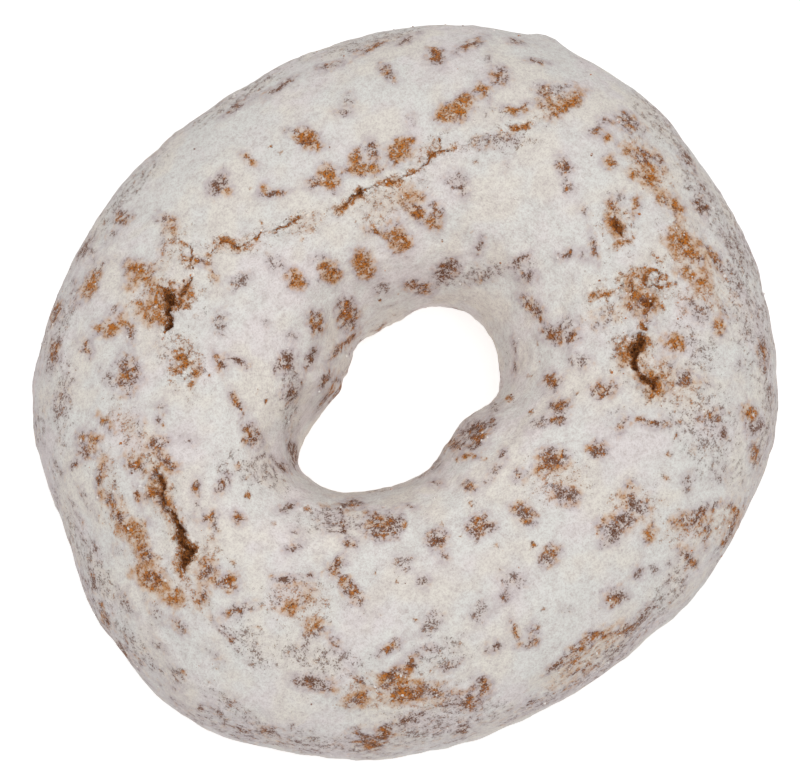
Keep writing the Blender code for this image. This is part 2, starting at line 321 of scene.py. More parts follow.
# Marks where the sugar is rubbed thin and the crust shows, as the photo shows them. Each is x and y of its
# middle, half its length and half its width in pixels, and how far its length is turned from the photo's
# width, counter-clockwise. Where two groups overlap, the colour is mostly that of the group that comes first.
marks = {
    "dense": {"bare": 1.35, "warmth": 0.55, "spots": (
        (411, 692, 14, 8, 10), (402, 688, 7, 7, 0), (370, 743, 12, 7, -20), (384, 733, 7, 6, 20),
        (359, 700, 6, 5, 30), (394, 676, 11, 6, 30), (409, 662, 6, 4, 65), (484, 686, 7, 6, -65),
        (616, 223, 8, 5, -60), (654, 382, 10, 6, -40), (308, 136, 7, 5, -45), (716, 254, 8, 4, -55),
        (152, 576, 10, 7, -30), (648, 300, 8, 5, -20), (171, 466, 4, 3, 0), (143, 550, 6, 5, -60),
        (470, 700, 8, 6, 0), (480, 438, 8, 4, 35), (228, 580, 5, 6, 60), (345, 312, 9, 6, -75),
    )},
    "orange": {"bare": 1, "warmth": 1, "spots": (
        (140, 268, 11, 8, -25), (127, 264, 5, 6, 0), (128, 282, 5, 4, 30), (105, 326, 11, 8, 5),
        (155, 303, 7, 9, -10), (150, 317, 9, 5, -10), (139, 304, 5, 4, 30), (120, 317, 8, 3.5, -15),
        (172, 222, 5, 3, 90), (87, 284, 13, 7, 65), (306, 135, 11, 9, -45), (316, 143, 7, 3, 0),
        (328, 174, 12, 9, -70), (362, 166, 17, 6, 3), (356, 153, 7, 6, 60), (396, 150, 11, 7, 80),
        (247, 156, 8, 2.5, -35), (263, 184, 3, 3, 0), (226, 188, 5, 3, 30), (445, 112, 9, 8, 50),
        (462, 104, 14, 9, 60), (484, 89, 9, 5, -60), (400, 148, 11, 9, 45), (408, 137, 7, 4, 5),
        (568, 102, 18, 6, 37), (431, 217, 10, 7, -40), (513, 108, 8, 4, -20), (525, 106, 5, 3, 80),
        (420, 195, 4, 4, 0), (405, 190, 6, 3, 50), (650, 173, 10, 6, -75), (637, 173, 5, 4, 0),
        (610, 160, 6, 5, -30), (685, 242, 16, 11, -40), (663, 196, 5, 4, 80), (677, 204, 9, 6, -45),
        (637, 204, 8, 4, 80), (608, 137, 5, 3, 0), (627, 148, 6, 4, -20), (704, 280, 8, 6, -80),
        (688, 273, 9, 5, -20), (294, 277, 10, 8, -60), (328, 268, 12, 9, -45), (363, 262, 15, 10, -60),
        (398, 237, 13, 11, -50), (645, 296, 8, 7, -10), (634, 289, 11, 4, -75), (677, 342, 11, 8, -20),
        (721, 325, 8, 5, 90), (750, 412, 9, 7, -45), (92, 437, 7, 5, 0), (104, 421, 9, 3, -40),
        (131, 530, 12, 8, -35), (140, 525, 8, 5, 20), (147, 578, 13, 9, -30), (172, 598, 9, 7, 20),
        (230, 582, 9, 7, 60), (315, 624, 6, 4, -10), (288, 608, 7, 5, 15), (651, 534, 5, 8, -10),
        (471, 456, 7, 3, 0), (603, 524, 4, 5, 0),
    )},
    "brown": {"bare": 0.95, "warmth": 0.45, "spots": (
        (122, 215, 8, 6, 45), (54, 312, 13, 5, 78), (54, 350, 11, 5, 80), (84, 345, 8, 5, -65),
        (127, 366, 15, 9, -55), (124, 382, 12, 7, -60), (128, 332, 10, 4, -75), (152, 285, 10, 5, -50),
        (182, 290, 6, 3, 60), (218, 361, 9, 5, -65), (75, 299, 4, 3, 0), (197, 259, 8, 3, -20),
        (112, 308, 6, 4, 20), (388, 70, 11, 5, -50), (372, 146, 9, 6, -60), (371, 44, 14, 3.5, 25),
        (344, 110, 6, 3, 0), (272, 191, 13, 3.5, 8), (437, 207, 8, 5, -70), (313, 180, 7, 5, 30),
        (436, 55, 9, 8, -35), (470, 42, 14, 5, 28), (500, 73, 9, 8, -30), (545, 88, 8, 6, -30),
        (545, 103, 12, 3, 0), (418, 208, 12, 8, -45), (564, 163, 9, 6, -70), (628, 120, 11, 8, -40),
        (608, 119, 5, 3, -10), (645, 157, 12, 8, -55), (660, 158, 9, 4, -65), (598, 128, 6, 4, 35),
        (717, 256, 10, 5, -55), (699, 256, 8, 5, -45), (595, 245, 12, 3.5, -78), (568, 252, 8, 4, 25),
        (613, 204, 7, 3, -70), (378, 230, 10, 4, -10), (315, 321, 12, 8, -70), (348, 313, 16, 10, -75),
        (236, 402, 13, 4, -58), (338, 350, 12, 3, 50), (350, 338, 12, 2, 48), (332, 388, 12, 2.5, 65),
        (418, 284, 14, 6, -10), (533, 305, 14, 6, -40), (540, 318, 6, 2, -60), (556, 333, 14, 8, -15),
        (573, 335, 8, 5, 20), (553, 381, 9, 8, 60), (648, 312, 11, 4, -50), (632, 305, 8, 3, -60),
        (652, 381, 14, 8, -40), (624, 359, 6, 3, -70), (687, 376, 6, 6, 0), (699, 377, 4, 3, 0),
        (606, 388, 12, 8, 20), (563, 407, 8, 8, 0), (652, 421, 14, 4, -15), (624, 423, 9, 5, 60),
        (713, 414, 11, 4, 15), (599, 448, 9, 8, -30), (758, 455, 12, 5, -80), (763, 350, 11, 5, -75),
        (86, 449, 10, 7, 50), (81, 437, 7, 5, 80), (100, 474, 14, 4, 80), (110, 498, 9, 4, -10),
        (118, 513, 13, 5, -60), (134, 464, 13, 7, -35), (137, 494, 10, 3, -80), (156, 442, 10, 6, 20),
        (164, 458, 10, 5, -55), (171, 466, 4, 4, 0), (161, 406, 4, 5, 0), (154, 493, 8, 7, 0),
        (194, 487, 8, 4, 85), (208, 517, 8, 5, 30), (145, 552, 12, 6, -65), (201, 580, 8, 3, 80),
        (201, 598, 8, 4, 60), (216, 577, 9, 3, 80), (236, 610, 14, 5, 25), (106, 618, 12, 4, -65),
        (178, 626, 9, 5, -60), (251, 434, 12, 8, -65), (237, 518, 6, 5, -30), (380, 528, 16, 12, -20),
        (350, 543, 7, 4, -30), (337, 564, 12, 6, 50), (457, 444, 8, 4, 10), (438, 541, 10, 9, 50),
        (481, 526, 12, 10, 30), (525, 514, 13, 8, -40), (551, 555, 11, 8, 55), (562, 405, 9, 6, 10),
        (560, 420, 9, 5, 10), (555, 458, 14, 10, 0), (545, 467, 8, 6, 0), (632, 486, 6, 5, -10),
        (693, 518, 16, 7, 15), (736, 512, 11, 4, -70), (723, 543, 5, 3, 30), (690, 558, 12, 6, -50),
        (616, 597, 12, 8, 20), (580, 648, 14, 6, 35), (575, 658, 12, 6, 60), (600, 634, 16, 5, 15),
        (625, 630, 10, 6, 30), (585, 671, 16, 2, 20), (309, 591, 4, 4, 0), (305, 599, 9, 4, 30),
        (333, 567, 6, 3, -10), (350, 589, 19, 7, -50), (315, 628, 9, 6, -10), (335, 642, 8, 4, -70),
        (390, 647, 12, 5, 30), (392, 675, 12, 7, 30), (409, 662, 7, 4, 65), (383, 682, 8, 4, -50),
        (394, 698, 9, 5, -10), (360, 698, 8, 4, 30), (350, 703, 6, 5, 0), (370, 743, 11, 6, -20),
        (384, 733, 8, 6, 20), (517, 632, 11, 4, -60), (536, 633, 10, 4, -80), (528, 643, 8, 4, 20),
        (205, 570, 8, 9, 0), (471, 486, 8, 5, -30), (157, 479, 12, 6, -60), (165, 503, 11, 5, -60),
    )},
    "dark": {"bare": 0.95, "warmth": 0.1, "spots": (
        (84, 247, 13, 4, 62), (70, 286, 7, 1.5, 75), (163, 216, 8, 4, -15), (213, 272, 6, 2, -60),
        (236, 103, 15, 3, 36), (331, 62, 12, 3.5, 12), (280, 83, 15, 3, 35), (267, 89, 4, 2.5, 20),
        (218, 182, 12, 7, 50), (408, 36, 11, 3, 22), (517, 36, 7, 2.5, -5), (540, 56, 10, 2.5, -8),
        (463, 185, 8, 5, -70), (702, 204, 9, 5, -60), (687, 157, 11, 4, -55), (585, 253, 3, 4, 0),
        (235, 358, 8, 3, -20), (244, 364, 3, 2, 0), (284, 360, 12, 7, 60), (311, 356, 12, 5, 60),
        (290, 393, 9, 7, -45), (302, 379, 7, 2, 75), (481, 243, 8, 3.5, 75), (447, 266, 15, 9, 40),
        (519, 259, 11, 4, 35), (528, 275, 8, 5, 15), (516, 345, 8, 1.5, -80), (516, 365, 8, 1.5, 85),
        (725, 432, 6, 3, -80), (756, 426, 8, 6, 20), (73, 463, 7, 3, 35), (158, 418, 3, 4, 0),
        (281, 466, 8, 5, -20), (293, 450, 13, 4, -75), (221, 484, 11, 5, 60), (285, 508, 9, 3.5, 20),
        (341, 509, 6, 5, 50), (354, 503, 8, 5, 0), (343, 526, 7, 4, 90), (394, 525, 12, 9, 90),
        (293, 548, 8, 3.5, 25), (295, 533, 4, 2, 0), (474, 430, 14, 7, 35), (475, 446, 9, 3.5, 5),
        (493, 421, 6, 4, 90), (505, 455, 5, 3, 90), (520, 475, 5, 5, 0), (437, 483, 5, 2.5, 0),
        (411, 508, 5, 2, -10), (445, 558, 4, 4, 0), (568, 495, 12, 8, -20), (638, 505, 14, 7, -40),
        (625, 520, 12, 7, 10), (616, 532, 9, 8, 60), (610, 540, 8, 4, 30), (712, 505, 14, 3, 12),
        (707, 530, 16, 3, 85), (730, 530, 14, 3, 70), (641, 573, 6, 4, 60), (640, 625, 14, 5, 45),
        (650, 613, 9, 5, 50), (560, 662, 16, 4, 45), (287, 580, 11, 4, -5), (306, 577, 9, 2.5, 10),
        (424, 582, 5, 5, 0), (429, 649, 7, 3.5, 5), (432, 691, 12, 7, 10), (450, 666, 10, 4, 25),
        (452, 701, 10, 4, 20), (482, 686, 10, 6, -65), (467, 704, 8, 7, 0), (310, 683, 18, 7, -5),
        (330, 690, 4, 5, 0), (361, 680, 12, 2.5, -55), (355, 732, 7, 3, 10), (267, 733, 9, 5, 10),
        (410, 720, 14, 5, 20), (463, 731, 9, 5, 40), (496, 646, 5, 5, 0), (505, 597, 6, 4, 20),
        (225, 634, 14, 2.5, -50), (174, 690, 5, 2, -30), (200, 711, 6, 3, -30), (217, 717, 11, 3, -48),
        (123, 652, 14, 3, -62), (93, 582, 12, 2, -80), (238, 733, 16, 2, -22), (322, 402, 10, 2, 60),
        (325, 378, 10, 4, 60),
    )},
    "grey": {"bare": 0.69, "warmth": 0.05, "spots": (
        (97, 266, 10, 4, 55), (110, 234, 8, 3.5, 55), (160, 240, 9, 3, 85), (108, 378, 13, 6, -50),
        (91, 253, 6, 4, -50), (50, 363, 12, 3, 75), (44, 350, 11, 1.5, 82), (64, 388, 11, 3, 50),
        (218, 320, 11, 7, 80), (350, 99, 9, 5, -80), (292, 131, 7, 4, -10), (412, 119, 6, 4, 90),
        (497, 139, 20, 7, 5), (458, 178, 11, 10, -50), (568, 180, 10, 5, -75), (507, 163, 4, 3, 60),
        (560, 86, 14, 6, 15), (490, 55, 5, 3, 80), (584, 208, 5, 4, -60), (641, 128, 8, 5, -40),
        (733, 240, 16, 7, -62), (745, 255, 14, 4, -62), (705, 188, 14, 4, -55), (725, 265, 8, 6, -50),
        (622, 197, 5, 5, 0), (275, 262, 10, 6, -35), (318, 257, 6, 5, 0), (383, 287, 8, 7, 0),
        (238, 279, 12, 6, 30), (291, 334, 5, 5, 0), (293, 368, 9, 5, -70), (484, 272, 15, 7, 15),
        (575, 357, 8, 6, 90), (607, 310, 12, 4, 15), (605, 322, 9, 3, 25), (570, 320, 10, 6, 0),
        (584, 360, 9, 8, 0), (668, 362, 8, 8, 0), (676, 383, 9, 5, 70), (711, 381, 3, 4, 0),
        (701, 309, 13, 9, -40), (728, 308, 12, 4, -45), (672, 418, 10, 2.5, -30), (741, 361, 4, 3, 90),
        (757, 315, 10, 4, -75), (770, 395, 12, 3, 85), (59, 402, 13, 7, 75), (41, 412, 9, 1.5, 70),
        (56, 468, 12, 3, -70), (85, 499, 14, 3, -60), (74, 511, 13, 2.5, -65), (138, 425, 8, 4, 70),
        (186, 439, 7, 4, 0), (195, 505, 10, 3, 85), (213, 525, 10, 3, -85), (94, 549, 10, 2.5, -80),
        (117, 549, 6, 4, 20), (88, 568, 14, 3, -65), (124, 602, 13, 5, -60), (156, 614, 10, 5, -50),
        (156, 646, 8, 4, -45), (217, 658, 6, 4, -50), (174, 676, 11, 6, -55), (231, 702, 6, 4, -40),
        (250, 606, 6, 4, 0), (258, 456, 8, 2.5, 15), (273, 458, 8, 4, -30), (325, 514, 8, 7, 0),
        (330, 528, 8, 5, 0), (496, 407, 7, 4, 50), (494, 473, 14, 4, 50), (438, 461, 7, 4, 90),
        (404, 563, 9, 8, 0), (540, 423, 12, 5, 30), (553, 488, 12, 2, -50), (691, 480, 8, 6, 80),
        (724, 474, 8, 7, 45), (671, 573, 12, 2.5, 85), (686, 580, 14, 3, 80), (657, 570, 7, 4, 20),
        (605, 655, 14, 3, 40), (620, 650, 18, 3, 38), (548, 698, 10, 3, 10), (430, 625, 13, 7, 50),
        (306, 639, 9, 6, 60), (480, 611, 10, 9, 40), (513, 580, 12, 9, -20), (487, 650, 5, 4, 0),
        (292, 726, 5, 5, 0), (420, 735, 20, 4, 12), (425, 725, 14, 3, 15), (276, 598, 12, 2, -80),
        (740, 280, 16, 4, -70), (765, 372, 10, 3, -85),
    )},
    "faint": {"bare": 0.42, "warmth": 0.1, "spots": (
        (168, 390, 6, 2, 0), (150, 345, 8, 4, 60), (165, 350, 8, 5, 0), (320, 50, 14, 2, 20),
        (545, 122, 14, 3, 8), (500, 110, 20, 7, 5), (735, 215, 16, 4, -58), (660, 115, 20, 3, -50),
        (266, 322, 8, 4, -30), (620, 408, 14, 3, 25), (610, 423, 5, 5, 0), (133, 405, 8, 2, -75),
        (143, 628, 8, 4, 40), (206, 648, 9, 6, 30), (425, 518, 7, 5, 40), (512, 573, 12, 6, -20),
        (370, 615, 10, 6, 0), (438, 612, 8, 6, 0), (305, 668, 6, 3, -50), (303, 732, 8, 3, 0),
        (566, 610, 7, 6, 0), (310, 745, 20, 4, -3), (700, 225, 10, 6, -50), (112, 258, 4, 4, 0),
        (385, 308, 14, 2, 28), (395, 315, 10, 2, 20), (440, 296, 10, 1.5, 10), (465, 282, 8, 1.5, 0),
        (345, 103, 9, 5, -70), (737, 378, 8, 4, -60), (528, 350, 6, 3, -70),
    )},
    "warmZones": {"bare": 0.54, "warmth": 0.9, "halo": 0.0, "spots": (
        (388, 200, 38, 17, 30), (300, 221, 26, 11, 25), (235, 243, 36, 8, 0), (425, 152, 28, 10, 50),
        (150, 300, 27, 26, 0), (180, 288, 10, 22, 80), (176, 350, 16, 24, -50), (165, 245, 30, 10, 80),
        (172, 520, 66, 9, -65), (113, 485, 42, 10, -75), (127, 530, 30, 14, -40), (150, 572, 32, 17, -50),
        (186, 592, 32, 16, -40), (208, 560, 34, 12, 80), (618, 222, 28, 10, -70), (690, 250, 38, 20, -55),
        (650, 292, 30, 24, 0), (702, 298, 30, 22, 0), (665, 378, 36, 16, -20), (608, 312, 28, 13, 25),
        (650, 165, 36, 17, -55), (300, 602, 36, 24, 0), (392, 690, 66, 20, 5), (590, 655, 48, 12, 38),
        (700, 525, 46, 16, 15), (560, 480, 32, 24, 0), (640, 508, 32, 22, 0), (130, 430, 40, 14, -50),
        (560, 98, 30, 12, 35), (150, 455, 30, 12, -35),
    )},
    "greyZones": {"bare": 0.57, "warmth": 0.1, "halo": 0.3, "spots": (
        (742, 250, 62, 14, -62), (765, 350, 66, 9, -87), (62, 400, 56, 10, 85), (345, 522, 50, 12, -5),
        (130, 640, 32, 8, -60), (480, 270, 60, 9, 12), (705, 420, 60, 30, -60), (440, 715, 70, 12, 8),
        (235, 710, 40, 8, -35), (700, 190, 46, 10, -58), (250, 470, 40, 16, -20), (90, 560, 60, 12, -62),
        (500, 140, 44, 10, 5), (330, 744, 72, 9, -2), (425, 731, 60, 14, 8), (455, 702, 42, 14, 0),
        (602, 662, 52, 10, 38), (672, 590, 42, 12, 62), (668, 125, 50, 14, -48), (728, 215, 44, 13, -62),
        (765, 430, 46, 8, 80), (60, 330, 50, 8, 72), (130, 190, 60, 8, 50), (240, 90, 70, 9, 33),
        (370, 38, 60, 7, 14), (745, 310, 70, 14, -80), (695, 345, 34, 16, -40), (290, 400, 12, 50, 0),
        (320, 660, 60, 14, -12), (250, 650, 34, 16, -40), (440, 655, 30, 16, 20),
    )},
}

# Specks of crust: x, y and radius in pixels
specks = (
    (247, 156, 4), (253, 159, 3), (270, 143, 2), (250, 183, 2.5), (263, 184, 3), (226, 189, 3.5),
    (315, 143, 3), (280, 150, 2), (239, 212, 2), (261, 219, 3), (309, 226, 4), (301, 237, 2.5),
    (331, 245, 2), (334, 255, 2), (381, 300, 2), (398, 291, 2), (472, 229, 2.5), (442, 239, 2),
    (521, 270, 2), (535, 254, 2), (481, 281, 2.5), (538, 342, 2), (540, 359, 2), (529, 374, 2.5),
    (256, 390, 2.5), (264, 400, 3), (296, 417, 2), (209, 374, 2.5), (241, 440, 3), (236, 467, 2.5),
    (245, 477, 2.5), (246, 495, 4), (274, 524, 3), (407, 527, 3), (442, 524, 2.5), (472, 504, 3),
    (497, 545, 3), (534, 544, 4), (463, 536, 2), (458, 460, 3), (486, 459, 3), (510, 397, 4), (532, 411, 3),
    (579, 391, 3), (680, 437, 3), (669, 477, 4), (671, 455, 3), (696, 450, 2), (599, 532, 3), (230, 561, 4),
    (241, 557, 2.5), (212, 550, 3), (158, 557, 4), (162, 424, 3), (111, 595, 2.5), (103, 604, 2),
    (182, 672, 3), (208, 681, 2.5), (218, 669, 2.5), (414, 620, 3), (397, 582, 3), (376, 573, 2),
    (520, 501, 2.5), (544, 609, 2), (488, 627, 2), (591, 579, 2), (258, 626, 2.5), (256, 639, 2.5),
    (477, 160, 3), (530, 175, 2), (172, 240, 3), (420, 195, 4), (568, 188, 2.5), (307, 509, 3),
)

speckLook = {"bare": 0.9, "warmth": 1.0, "halo": 0.0}
markEdges = {
    "roundness": 2.4,
    "scale": 1.16,
    "wobble": 0.32,
    "wobbleSize": 0.7,
    "fading": (0.40, 1.48),     # in shares of the mark's size
    "warmFading": (0.55, 1.30),
    "halo": (-2.0, 9.0),        # pixels beyond its edge
    "reach": 2.2,               # how far to look for it, in half lengths
    "margin": 6,
    "leastFacing": 0.03,
}

# Marks on the sides and the underside, which the photo doesn't show, come by rule, row by row round the tube
hiddenPads = {
    "tubeRows": (8, -8, -24, -40, -56, -74, -93, -112, -130, -147, -163, -178, -194),
    "pitch": 5.2,
    "stagger": (-0.15, 0.15),   # in shares of the pitch
    "jitter": 0.9,
    "tubeRadius": 16,
    "skipped": 0.15,
    "rowAngle": -23.0,
    "turns": (-25, 25),
    "alongRow": 1.5,
    "acrossRow": 1.8,
    "intoCrust": 2.5,
    "sizes": (0.8, 1.15),
    "reach": 4.2,
    "wobble": 0.75,
    "wobbleSize": 1.3,
    "bare": (0.45, 0.95),
    "warmest": 0.6,
    "warmFading": (0.5, 1.1),
    "halo": (0.8, 1.6),
    "facing": (0.10, 0.36),     # they fade in where the photo sees the surface edge on
    "seed": 7,
}


def pixelsOf(place):
    # where the photo shows each place
    right, up, back = (np.array(axis) for axis in cameraFrame())
    away = place - np.array(cameraPlace())
    scale = photoView["distance"] / (-(away @ back) * photoView["mmPerPixel"])
    return photoView["middlePixel"][0] + away @ right * scale, photoView["middlePixel"][1] - away @ up * scale


def inEllipse(x, y, spot):
    # pixels turned into shares of an ellipse's half length and half width
    atX, atY, halfLength, halfWidth, turn = spot
    turn = math.radians(turn)
    u = ((x - atX) * math.cos(turn) - (y - atY) * math.sin(turn)) / halfLength
    v = ((x - atX) * math.sin(turn) + (y - atY) * math.cos(turn)) / halfWidth
    return u, v


def paintMarks(place, normal):
    # how bare and how warm each place is, and how near a mark
    bare, warm, halo = (np.zeros(len(place)) for _ in range(3))
    toCamera = np.array(cameraPlace()) - place
    toCamera /= np.linalg.norm(toCamera, axis=1)[:, None]
    seen = np.nonzero((normal * toCamera).sum(axis=1) > markEdges["leastFacing"])[0]
    wobble = markEdges["wobble"] * fieldOf(place[seen], markEdges["wobbleSize"], 3, 4.0)
    x, y = pixelsOf(place[seen])
    power = markEdges["roundness"]
    speckGroup = {**speckLook, "spots": [(atX, atY, size, size, 0) for atX, atY, size in specks]}
    for group in (*reversed(marks.values()), speckGroup):
        for spot in group["spots"]:
            atX, atY, halfLength, halfWidth, _ = spot
            reach = markEdges["reach"] * halfLength + markEdges["margin"]
            near = np.nonzero((np.abs(x - atX) < reach) & (np.abs(y - atY) < reach))[0]
            u, v = inEllipse(x[near], y[near], spot)
            gap = (np.abs(u) ** power + np.abs(v) ** power) ** (1 / power) / markEdges["scale"] + wobble[near]
            spread = 1 - smoothStep(gap, *markEdges["fading"])
            beyond = (gap - 1) * math.sqrt(halfLength * halfWidth)
            spots = seen[near]
            bare[spots] = np.maximum(bare[spots], group["bare"] * spread)
            warm[spots] += (group["warmth"] - warm[spots]) * (1 - smoothStep(gap, *markEdges["warmFading"]))
            haloSpread = 1 - smoothStep(beyond, *markEdges["halo"])
            halo[spots] = np.maximum(halo[spots], group["bare"] * group.get("halo", 1.0) * haloSpread)
    return bare, warm, halo


def unseenPads():
    shuffle = random.Random(hiddenPads["seed"])
    found = []
    for row, tubeAngle in enumerate(hiddenPads["tubeRows"]):
        phi = math.radians(tubeAngle)
        girth = float(np.linalg.norm(ringPoint(np.array(0.0), np.array(phi))[:2])) * math.tau
        count = int(girth / hiddenPads["pitch"])
        for step in range(count):
            theta = math.tau * (step + 0.5 * (row % 2) + shuffle.uniform(*hiddenPads["stagger"])) / count
            tilt = phi + shuffle.uniform(-1, 1) * hiddenPads["jitter"] / hiddenPads["tubeRadius"]
            if shuffle.random() < hiddenPads["skipped"]:
                continue
            spot = (np.array(theta), np.array(tilt))
            found.append({
                "at": ringPoint(*spot),
                "normal": ringNormal(*spot),
                "bare": shuffle.uniform(*hiddenPads["bare"]),
                "warmth": hiddenPads["warmest"] * shuffle.random() ** 2,
                "size": shuffle.uniform(*hiddenPads["sizes"]),
                "turn": shuffle.uniform(*hiddenPads["turns"]),
            })
    return found


def paintUnseen(place, found):
    # the same for the places that the photo doesn't show
    bare, warm, halo = (np.zeros(len(place)) for _ in range(3))
    wobble = hiddenPads["wobble"] * fieldOf(place, hiddenPads["wobbleSize"], 3, 4.0)
    power = markEdges["roundness"]
    for pad in found:
        reach = hiddenPads["reach"] * pad["size"]
        near = np.nonzero(np.abs(place - pad["at"]).max(axis=1) < reach)[0]
        if not len(near):
            continue
        away = place[near] - pad["at"]
        turn = math.radians(hiddenPads["rowAngle"] + pad["turn"])
        along = np.array([math.cos(turn), math.sin(turn), 0])
        along -= pad["normal"] * (along @ pad["normal"])
        along /= np.linalg.norm(along)
        across = np.cross(pad["normal"], along)
        u = away @ along / (hiddenPads["alongRow"] * pad["size"])
        v = away @ across / (hiddenPads["acrossRow"] * pad["size"])
        depth = away @ pad["normal"] / hiddenPads["intoCrust"]
        gap = (np.abs(u) ** power + np.abs(v) ** power + np.abs(depth) ** power) ** (1 / power) + wobble[near]
        for mask, strength, fading in (
            (bare, pad["bare"], markEdges["fading"]),
            (warm, pad["warmth"], hiddenPads["warmFading"]),
            (halo, pad["bare"], hiddenPads["halo"]),
        ):
            mask[near] = np.maximum(mask[near], strength * (1 - smoothStep(gap, *fading)))
    return bare, warm, halo


# Crumbling sugar round the cracks: x, y, half length, half width in pixels, turn and strength
rubbleZones = (
    (120, 515, 62, 11, -58, 0.72), (128, 452, 36, 17, -40, 0.55), (166, 298, 32, 22, -60, 0.70),
    (224, 243, 46, 11, 10, 0.55), (385, 186, 62, 15, 28, 0.28), (478, 138, 46, 13, 12, 0.50),
    (650, 168, 38, 20, -60, 0.50), (618, 214, 32, 12, -70, 0.55), (655, 290, 40, 28, -60, 0.60),
    (648, 366, 38, 22, -50, 0.65), (692, 262, 42, 20, -60, 0.45), (402, 692, 62, 16, 5, 0.55),
    (300, 602, 32, 20, 0, 0.40), (352, 508, 46, 10, -5, 0.55), (302, 440, 34, 9, -60, 0.45),
    (600, 650, 60, 12, 35, 0.45), (700, 520, 44, 14, 15, 0.40), (470, 440, 30, 9, 35, 0.40),
)


def rubbleAt(place):
    x, y = pixelsOf(place)
    rubble = np.zeros(len(place))
    for *spot, strength in rubbleZones:
        u, v = inEllipse(x, y, spot)
        rubble = np.maximum(rubble, strength * np.exp(-(u * u + v * v) ** 2))
    return rubble


# How cracks and pits tear the crust
tearing = {
    "jag": (0.30, 0.45),        # how far a crack's edge wavers, and the size of its waves
    "jagShares": (0.2, 1.2),    # of the jag, at the narrowest and the widest
    "wholeJag": 0.4,            # half width of a crack that has all of it
    "wander": (0.22, 0.9),      # the same for its route
    "rubbleSize": 0.5,
    "carving": (1.25, 0.05),    # carved half width: share of the crack's, and a margin
    "hollow": 0.8,              # power that rounds its floor
    "floor": (0.60, 0.45),      # even and rough shares of its depth
    "lip": 0.6,                 # the lip's distance and its width
    "lipDepths": (0.3, 1.2),
    "fullShadeDepth": 1.6,             # crack depth at which its painted shade is full
    "pitHollow": 0.7,
    # how much painted shade a pit gets
    "pitShade": 0.4,
}


def tornCrust(place, crown, routes):
    # relief of the cracks and pits, and the masks that colour them; torn also carries painted shade that
    # grows with depth
    count = len(place)
    relief, torn, flaky = np.zeros(count), np.zeros(count), np.zeros(count)
    crackGap, crackWidth = np.full(count, 9.0), np.zeros(count)
    height, size = tearing["jag"]
    jag = height * fieldOf(place, size, 3, 9.0)
    rubble = fieldOf(place, tearing["rubbleSize"], 2, 80.0)
    height, size = tearing["wander"]
    wander = height * np.stack([fieldOf(place, size, 3, seed) for seed in (50.0, 60.0)], -1)
    share, margin = tearing["carving"]
    even, rough = tearing["floor"]
    for crack, route in routes:
        plain, facts = routeFacts(place[:, :2] + wander, route)
        halfWidth, depth = facts[:, 0], facts[:, 1]
        gap = plain + jag * np.clip(halfWidth / tearing["wholeJag"], *tearing["jagShares"])
        carved = np.clip(1 - gap / (halfWidth * share + margin), 0, 1) ** tearing["hollow"]
        relief -= crown * depth * carved * (even + rough * rubble)
        lip = bell(plain - halfWidth - tearing["lip"], tearing["lip"])
        relief += crown * crack["lip"] * np.clip(depth, *tearing["lipDepths"]) * lip
        # painted shade in the crack, stronger where it is deeper
        torn = np.maximum(torn, crown * carved * np.clip(depth / tearing["fullShadeDepth"], 0.3, 1))
        flaky = np.maximum(flaky, crown * bell(plain, crack["flaking"]))
        closer = plain - halfWidth < crackGap - crackWidth
        crackGap = np.where(closer, plain, crackGap)
        crackWidth = np.where(closer, halfWidth, crackWidth)
    for x, y, radius, depth in pits:
        carved = np.clip(1 - gapToSpot(place, x, y) / radius + jag, 0, 1) ** tearing["pitHollow"]
        relief -= crown * depth * carved
        torn = np.maximum(torn, tearing["pitShade"] * crown * carved)
    flaky = np.maximum(flaky, crown * rubbleAt(place))
    return relief, {"torn": torn, "flaky": flaky, "crackGap": crackGap, "crackWidth": crackWidth}


sugarRelief = {
    "padHeight": 0.10,
    "drifts": ((2.6, 0.16), (1.1, 0.07), (0.55, 0.035)),    # size, height
    "crumbly": ((1.3, 0.22), (0.6, 0.14)),                   # near the cracks
    "crumbMiddle": 0.35,
    "leastFlaky": 0.05,
    "boxShare": 0.9995,         # how much of the solid's box the crust fills
}


def doughRelief(place, crown):
    # swells, lumps and folds of the dough, and the clot on its rim
    relief = sum(height * fieldOf(place, size) for size, height in ring["swells"])
    for x, y, radius, height in lumps:
        relief += crown * height * bell(gapToSpot(place, x, y), radius)
    for route, halfWidth, depth in folds:
        gap, _ = routeFacts(place, route)
        relief -= crown * depth * bell(gap, halfWidth)
    turn = np.array(math.radians(rimClot["angle"]))
    rim = ringRadius(turn, "rim")
    clot = np.array([rim * np.cos(turn), rim * np.sin(turn), rimClot["height"]])
    relief += rimClot["reach"] * bell(np.linalg.norm(place - clot, axis=1), rimClot["radius"])
    return relief


def addSugarRelief(relief, place, halo, flaky):
    relief += sugarRelief["padHeight"] * halo
    for layer, (size, height) in enumerate(sugarRelief["drifts"]):
        relief += height * fieldOf(place, size, 2, 20.0 + layer)
    near = flaky > sugarRelief["leastFlaky"]
    for layer, (size, height) in enumerate(sugarRelief["crumbly"]):
        lumpy = np.abs(fieldOf(place[near], size, 3, 40.0 + layer))
        relief[near] += height * flaky[near] * (sugarRelief["crumbMiddle"] - lumpy) * 2
    start, end = ring["reliefFade"]
    relief *= np.clip((place[:, 2] - start) / (end - start), 0, 1)


def fitToSolid(place):
    # cuts the foot flat, centres the ring and keeps it inside the solid's box
    place[:, 2] = np.maximum(place[:, 2] - ring["footTrim"], 0)
    middle = (place.min(axis=0) + place.max(axis=0)) / 2
    place[:, :2] -= middle[:2]
    place *= np.minimum(boxSize / np.ptp(place, axis=0), 1) * sugarRelief["boxShare"]
    return Vector((middle[0], middle[1], 0))


